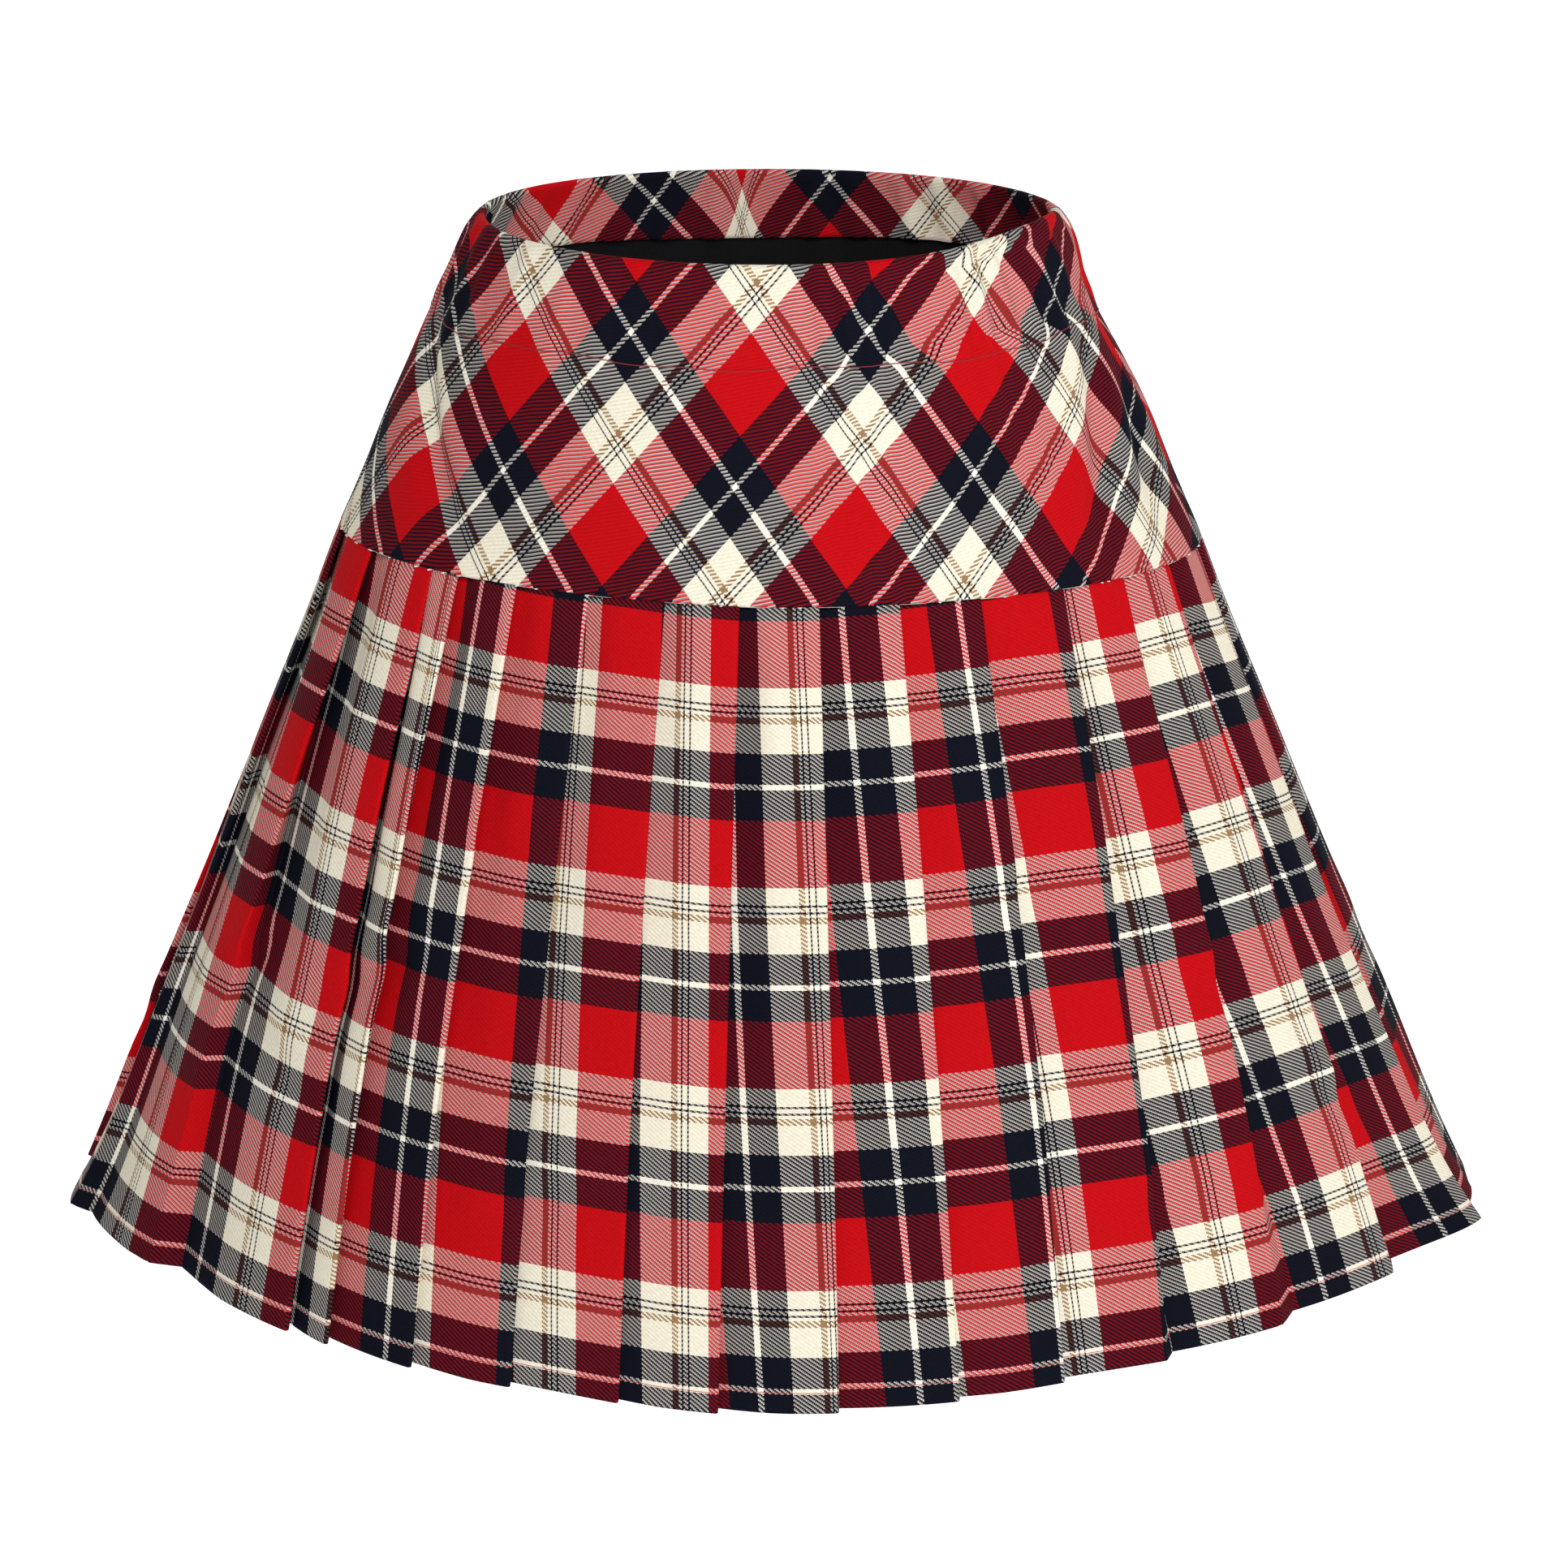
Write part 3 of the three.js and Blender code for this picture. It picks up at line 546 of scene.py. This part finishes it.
def pleat_points(i, share, ridges):
    """One pleat on every row: angle, depth and warp place of its points, and the rows' levels.
    The ridge is an arc that turns the cloth from the face's heading back to the underlay's, the
    valley an arc that turns it out again, and the next face rises from the valley to the next
    ridge. x runs round the body from the ridge and d inward, both in millimetres."""
    count = len(ridges)
    before, here, after = (ridges[(i + n) % count] for n in (-1, 0, 1))
    lap_before, lap, lap_after = (360 * ((i + n) // count) for n in (-1, 0, 1))
    level = SEAM_Z - GAP + (HEM_Z - SEAM_Z + GAP) * share
    open_ = np.sqrt(share)
    face = CLOTH / 2
    layer = (CLOTH + GAP) / np.cos(LAYER_TILT * np.minimum(1, share * TILT_IN))
    r = layer / 2
    angle = mix(here[0], here[1], share) + lap
    following = mix(after[0], after[1], share) + lap_after
    leading = mix(before[0], before[1], share) + lap_before
    per = arc_per_degree((angle + following) / 2, level)
    pitch = (following - angle) * per
    part_way = share / GAPE_SHARE
    valley = mix(face + 1.5 * layer, here[2], open_) + here[3] * part_way * np.exp(1 - part_way)
    reach = np.clip(pitch - np.sqrt(FACE_AT_HEM**2 - here[2]**2), *VALLEY_REACH)
    underlay = np.minimum(UNDERLAY, UNDERLAY_SHARE * (angle - leading) * per)
    valley_at = mix(-underlay, reach, share)
    back = np.arctan2(valley - face - r, valley_at + r)
    rise = np.arctan2(valley - face, pitch - valley_at) * open_
    heading = back[:, None] * np.linspace(0, 1, 6)
    ridge_x = -r[:, None] + r[:, None] * np.sin(heading)
    ridge_d = face + r[:, None] - r[:, None] * np.cos(heading)
    middle = (back - rise) / 2
    heading = mix(back[:, None], -rise[:, None], np.linspace(0, 1, 6))
    valley_x = (valley_at + r * np.sin(middle))[:, None] - r[:, None] * np.sin(heading)
    valley_d = (valley - r * np.cos(middle))[:, None] + r[:, None] * np.cos(heading)
    under = np.array([0.25, 0.5, 0.75])
    under_x = mix(ridge_x[:, -1:], valley_x[:, :1], under)
    under_d = mix(ridge_d[:, -1:], valley_d[:, :1], under)
    part = np.array([0.06, 0.14, 0.24, 0.34, 0.42, 0.5, 0.58, 0.66, 0.76, 0.86, 0.95])
    start_x, start_d = valley_x[:, -1:], valley_d[:, -1:]
    face_x = mix(start_x, (pitch - r)[:, None], part)
    step = np.clip((part - PRESS_FROM) / PRESS_OVER, 0, 1)
    pressed = mix(start_d, face, step**2 * (3 - 2 * step))
    loose = mix(start_d, face, part + LOOSE_BULGE * part * (1 - part))
    face_d = mix(pressed, loose, open_[:, None])
    x = np.concatenate([ridge_x, under_x, valley_x, face_x], axis=1)
    d = np.concatenate([ridge_d, under_d, valley_d, face_d], axis=1)
    run = lengths_along(np.stack([x, d], axis=-1), 1)
    warp_here = mix(here[4], here[5], share)
    gain = after[4:] - here[4:] if lap_after == lap else (PARTS - PARTS_BACK,) * 2
    warp_next = warp_here + mix(gain[0], gain[1], share)
    total = run[:, -1:] + (pitch[:, None] - x[:, -1:])
    warp_here, warp_next = warp_here[:, None], warp_next[:, None]
    under_parts = mix(*UNDER_REPEAT, share)[:, None] * PARTS
    bend = run[:, VALLEY_POINT:VALLEY_POINT + 1]
    first_part = warp_here + run / bend * under_parts
    second_part = (warp_here + under_parts
                   + (run - bend) / (total - bend) * (warp_next - warp_here - under_parts))
    warp = np.where(run <= bend, first_part, second_part) / PARTS
    return angle[:, None] + x / per[:, None], d, warp, level


MM_PER_DEGREE = 4.4  # round the body, about half way down the pleats


def creased(angle, level):
    """Depth of the soft creases of PLEAT_CREASES: each runs along a slanting line of its own
    length, as a trough with a lower ridge above it."""
    total = 0
    for middle, height, slope, length, width, deep in PLEAT_CREASES:
        run = turn_from(angle, middle) * MM_PER_DEGREE
        off = (level - height - slope * run) / width
        along = np.exp(-(run / length)**2)
        total = total + deep * along * (np.exp(-off**2) - 0.6 * np.exp(-(off - 1.6)**2))
    return total


def above_hem(points, rest, up):
    """Points of a pleated panel a set length of cloth above its hem edge, `rest` being that
    length at each point of the grid, and the row and column that each of them lies in."""
    rows, columns = points.shape[0], np.arange(points.shape[1])
    lower = np.clip(rows - 1 - (rest[::-1] < up).sum(axis=0), 0, rows - 2)
    part = (rest[lower, columns] - up) / (rest[lower, columns] - rest[lower + 1, columns])
    part = np.clip(part, 0, 1)[:, None]
    place = points[lower, columns] * (1 - part) + points[lower + 1, columns] * part
    return place, (lower, columns)


def pleated_piece(name, first, count, phase):
    """Pleated panel of a count of pleats from one of RIDGES on: its rows run from the seam
    allowance behind the yoke, over the seam and down to the hem edge, and up again inside as
    the turned hem. The faces sway a little more towards the hem, by two sine waves."""
    down = np.concatenate([[0], np.linspace(0.006, 0.12, 8), np.linspace(0.15, 0.97, 46),
                           [0.985, 0.995, 1.0]])
    blocks = [pleat_points(i, down, RIDGES) for i in range(first - 1, first + count)]
    angle, depth, warp = (np.concatenate([block[k] for block in blocks], axis=1)
                          for k in range(3))
    per_block = blocks[0][0].shape[1]
    cut = slice(per_block - 6, (count + 1) * per_block - 5)
    angle, depth, warp = angle[:, cut], depth[:, cut], warp[:, cut]
    level = blocks[0][3][:, None]
    share = down[:, None]
    sway = (1.5 * np.sin(np.radians(angle) * 9 + 4.1 * share + phase)
            + 0.9 * np.sin(np.radians(angle) * 17 - 6.3 * share)) * share
    points = on_body(angle, level, depth + np.maximum(0, sway) + creased(angle, level))
    across = np.gradient(points, axis=1)
    along = np.gradient(points, axis=0)
    normal = np.cross(along, across)
    normal /= np.linalg.norm(normal, axis=-1, keepdims=True)
    ahead = on_body(angle[:1], np.array([[SEAM_Z + ALLOWANCE_ROWS[0]]]), depth[:1] + 1.5)
    lip = on_body(angle[:1], np.array([[SEAM_Z + 0.2]]), depth[:1] + 1.35)
    drop = lengths_along(points, 0)
    rest = drop[-1:] - drop
    turned = []
    for up in TURN_ROWS:
        place, spot = above_hem(points, rest, up)
        turned.append(place - normal[spot] * min(1.25, CLOTH / 2 + up))
    grid = np.concatenate([ahead, lip, points, np.array(turned)], axis=0)
    weft = HEM_PARTS / PARTS + rest / REPEAT
    weft_top = weft[:1] + np.array(ALLOWANCE_ROWS)[:, None] / REPEAT
    weft_turn = HEM_PARTS / PARTS - np.array(TURN_ROWS)[:, None] / REPEAT
    one_row = np.ones_like(warp[:1])
    warp_all = np.concatenate([warp[:1], warp[:1], warp, np.repeat(warp[-1:], 4, axis=0)])
    weft_all = np.concatenate([weft_top * one_row, weft, weft_turn * one_row])
    piece = sheet_mesh(name, grid, np.stack([warp_all, weft_all], axis=-1))
    return piece, points, normal, rest


RIDGES = all_ridges()
pleats_front, *front_panel = pleated_piece("pleats_front_cloth", 30, len(PLEATS), 0)
pleats_back, *back_panel = pleated_piece("pleats_back_cloth", 15, BACK_PLEATS, 180)
for piece, node in ((pleats_front, "pleats_front"), (pleats_back, "pleats_back")):
    thicken(piece, 0.9)
    piece.data.materials.append(plaid)
    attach(piece, "root")
    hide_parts(node)

# Sewing threads: one row of lockstitch round the casing in dark red, one round the hem in red,
# and a few ends of white thread that show in the hip seam. Each stitch dips at both its ends.
STITCH, HEM_STITCH_UP = 2.6, 7.3


def thread_tube(name, path, normal, radius, rise):
    """Thread along a path on the cloth: a six-sided tube whose middle stands off the cloth by
    `rise` times the absolute sine of the distance run, one half wave to a stitch."""
    run = np.concatenate([[0], np.cumsum(np.linalg.norm(np.diff(path, axis=0), axis=1))])
    even = np.arange(0, run[-1], STITCH / 5)
    centre = np.stack([np.interp(even, run, path[:, k]) for k in range(3)], axis=-1)
    out = np.stack([np.interp(even, run, normal[:, k]) for k in range(3)], axis=-1)
    out /= np.linalg.norm(out, axis=1, keepdims=True)
    centre = centre + out * (rise * np.abs(np.sin(math.pi * even / STITCH)) - 0.05)[:, None]
    tangent = np.gradient(centre, axis=0)
    tangent /= np.linalg.norm(tangent, axis=1, keepdims=True)
    side = np.cross(tangent, out)
    side /= np.linalg.norm(side, axis=1, keepdims=True)
    over = np.cross(side, tangent)
    turn = np.linspace(0, 2 * math.pi, 7)
    ring = (np.cos(turn)[None, :, None] * side[:, None, :]
            + np.sin(turn)[None, :, None] * over[:, None, :])
    points = centre[:, None, :] + radius * ring
    cloth = np.stack(np.broadcast_arrays(even[:, None] / STITCH, turn[None, :]), axis=-1)
    return sheet_mesh(name, points, cloth, closed=True)


def thread_material(name, light, dark):
    """Twisted thread: a fine slanting stripe between two tones of its colour."""
    material, shader, uv, u, v = new_material(name)
    twist = (u * 31 + v * 2).sin() * 0.5 + 0.5
    material.node_tree.links.new(twist.blend((*dark, 1), (*light, 1)).out,
                                 shader.inputs["Base Color"])
    material.node_tree.links.new(
        u.take("ShaderNodeBump", Strength=0.5, Distance=0.0001, Height=twist).out,
        shader.inputs["Normal"])
    shader.inputs["Roughness"].default_value = 0.55
    return material


def sew(piece, material):
    """Give a thread its material, body and slot."""
    piece.data.materials.append(material)
    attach(piece, "root")


dark_red = thread_material("dark_red_thread", (0.30, 0.010, 0.020), (0.16, 0.005, 0.012))
bright_red = thread_material("red_thread", (0.62, 0.05, 0.04), (0.42, 0.02, 0.02))
white_thread = thread_material("white_thread", (0.85, 0.84, 0.80), (0.70, 0.69, 0.65))

stitch_angle = np.linspace(0, 360, 2401)
stitch_level = (CASING_STITCH + 0.8 * np.sin(np.radians(stitch_angle) * 7)
                + 0.5 * np.sin(np.radians(stitch_angle) * 19))
stitch_slack = pucker(stitch_angle, stitch_level)
stitch_line = on_body(stitch_angle, stitch_level, 0.05 - stitch_slack)
stitch_out = stitch_line - on_body(stitch_angle, stitch_level, 1.05 - stitch_slack)
sew(thread_tube("casing_stitches", stitch_line, stitch_out, radius=0.2, rise=0.22), dark_red)

SEAM_SPECKS = np.array([
    # first angle, last angle, and how many specks of the white seam thread show between them
    (-86, -60, 9), (-54, -44, 7), (-38, -22, 3), (-12, 8, 4), (19, 33, 3), (46, 58, 4),
    (70, 92, 6), (110, 134, 6), (150, 171, 5), (186, 204, 4), (221, 246, 7), (256, 268, 4),
])
# Degrees that a speck takes each way, how far every second one is moved on, in shares of their
# spacing, and how deep the thread lies between them.
SPECK_REACH, SPECK_SWING, THREAD_DEPTH = 0.16, 0.07, 1.15
seam_angle = np.linspace(-90, 270, 7201)
specks = [first + (last - first) * ((i + 0.5) / count + SPECK_SWING * (-1)**i)
          for first, last, count in SEAM_SPECKS for i in range(int(count))]
seam_show = sum(np.exp(-(turn_from(seam_angle, at) / SPECK_REACH)**2) for at in specks)
seam_depth = THREAD_DEPTH - THREAD_DEPTH * seam_show
seam_line = on_body(seam_angle, SEAM_Z + 0.15, seam_depth)
seam_out = seam_line - on_body(seam_angle, SEAM_Z + 0.15, 1 + seam_depth)
sew(thread_tube("hip_seam_thread", seam_line, seam_out, radius=0.24, rise=0.0), white_thread)

for name, (points, normal, rest) in (("hem_stitches_front", front_panel),
                                     ("hem_stitches_back", back_panel)):
    place, spot = above_hem(points, rest, HEM_STITCH_UP)
    sew(thread_tube(name, place + normal[spot] * 0.5, normal[spot], radius=0.12, rise=0.16),
        bright_red)

# Studio: a plain pale floor that curves up far behind, two square soft lights, an even sky, and
# the camera that takes the photo's view. Heights of what they face are in metres.
PHOTO_WIDTH, PAPER_GLOW, SKY_GLOW = 1932, 0.53, 0.27
LIGHT_AIM, CAMERA_AIM = -0.2, -0.225


def studio_sheet():
    """Sweep of the paper: flat floor, then a quarter circle, then a wall, in metres."""
    turn = np.linspace(0, math.pi / 2, 24)
    forward = np.concatenate([[-7.0], 3.0 + 1.5 * np.sin(turn), [4.5]])
    up = np.concatenate([[-1.05], 0.45 - 1.5 * np.cos(turn), [6.0]])
    side = np.linspace(-8, 8, 3)
    points = np.stack(np.broadcast_arrays(side[None, :], forward[:, None], up[:, None]), axis=-1)
    return sheet_mesh("floor", points * 1000, points[..., :2])


floor = studio_sheet()
paper, paper_shader, *_ = new_material("pale_paper")
paper_shader.inputs["Base Color"].default_value = (0.93, 0.93, 0.93, 1)
paper_shader.inputs["Roughness"].default_value = 0.9
paper_shader.inputs["Emission Color"].default_value = (1, 1, 1, 1)
paper_shader.inputs["Emission Strength"].default_value = PAPER_GLOW
floor.data.materials.append(paper)

world = bpy.data.worlds.new("studio")
bpy.context.scene.world = world
world.use_nodes = True
world.node_tree.nodes["Background"].inputs["Color"].default_value = (1, 1, 1, 1)
world.node_tree.nodes["Background"].inputs["Strength"].default_value = SKY_GLOW


def soft_light(name, place, size, power):
    """Square area light at a place in metres that faces the middle of the skirt."""
    data = bpy.data.lights.new(name, "AREA")
    data.size, data.energy = size, power
    light = bpy.data.objects.new(name, data)
    light.location = place
    aim = np.array([0, 0, LIGHT_AIM]) - np.array(place)
    light.rotation_mode = "QUATERNION"
    light.rotation_quaternion = Vector(aim).to_track_quat("-Z", "Y")
    bpy.context.scene.collection.objects.link(light)


soft_light("key", (0.45, -2.4, 1.7), 0.6, 63)
soft_light("fill", (1.9, -1.6, 0.7), 1.2, 13)

camera_data = bpy.data.cameras.new("camera")
camera_data.lens = 131.2
camera_data.sensor_width = 36
camera_data.shift_x = 20 / PHOTO_WIDTH
camera_data.shift_y = -30 / PHOTO_WIDTH
camera = bpy.data.objects.new("camera", camera_data)
elevation, distance = math.radians(16), 2.3
camera.location = (0, -distance * math.cos(elevation),
                   CAMERA_AIM + distance * math.sin(elevation))
camera.rotation_euler = (math.radians(90) - elevation, 0, 0)
camera_data.clip_end = 50
bpy.context.scene.collection.objects.link(camera)
bpy.context.scene.camera = camera
bpy.context.scene.view_settings.view_transform = "Standard"
